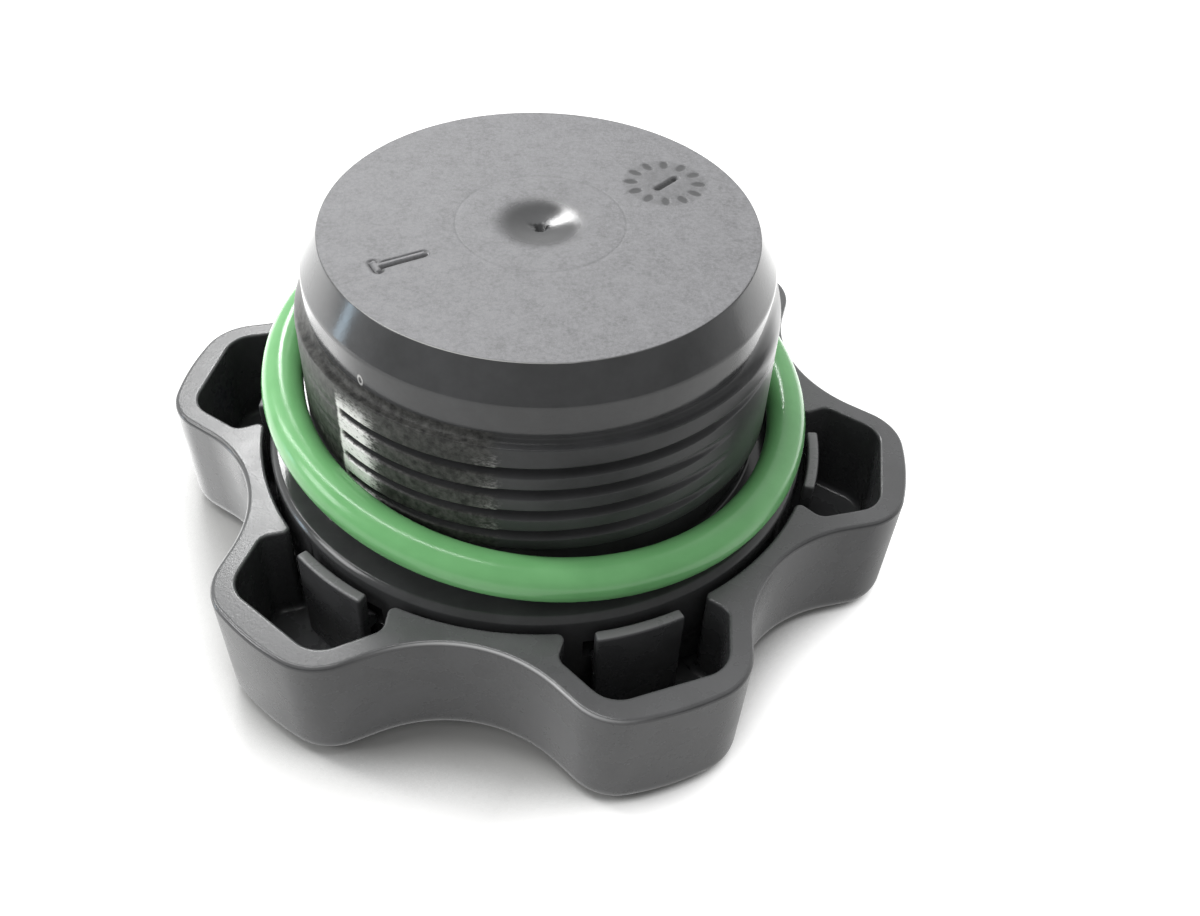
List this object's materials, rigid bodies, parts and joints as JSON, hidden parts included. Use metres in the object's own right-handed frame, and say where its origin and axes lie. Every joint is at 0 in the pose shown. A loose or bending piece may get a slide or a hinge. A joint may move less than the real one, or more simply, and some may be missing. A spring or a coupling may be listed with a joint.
{
  "type": "breather vent cap",
  "caption": "Moulded screw-in filler and breather cap: a lobed hand wheel with open pockets and spring tongues carries a coarse-threaded, closed plug with a loose sealing ring.",
  "frame": {"origin": "middle of the hand wheel's outer face, on which the cap lies", "axes": "+Z along the thread's axis, from the hand wheel to the plug's closed end; +X through the middle of one lobe"},
  "size_m": [0.0698, 0.0644, 0.0346],
  "materials": {
    "wheel_plastic": "satin, fine moulded grain",
    "plug_plastic": "satin, matter on the end face and glossier on the chamfer and flange",
    "ring_rubber": "smooth, half gloss"
  },
  "bodies": {
    "root": {"hand_wheel": "wheel_plastic", "screw_plug": "plug_plastic", "sealing_ring": "ring_rubber"}
  },
  "joints": []
}
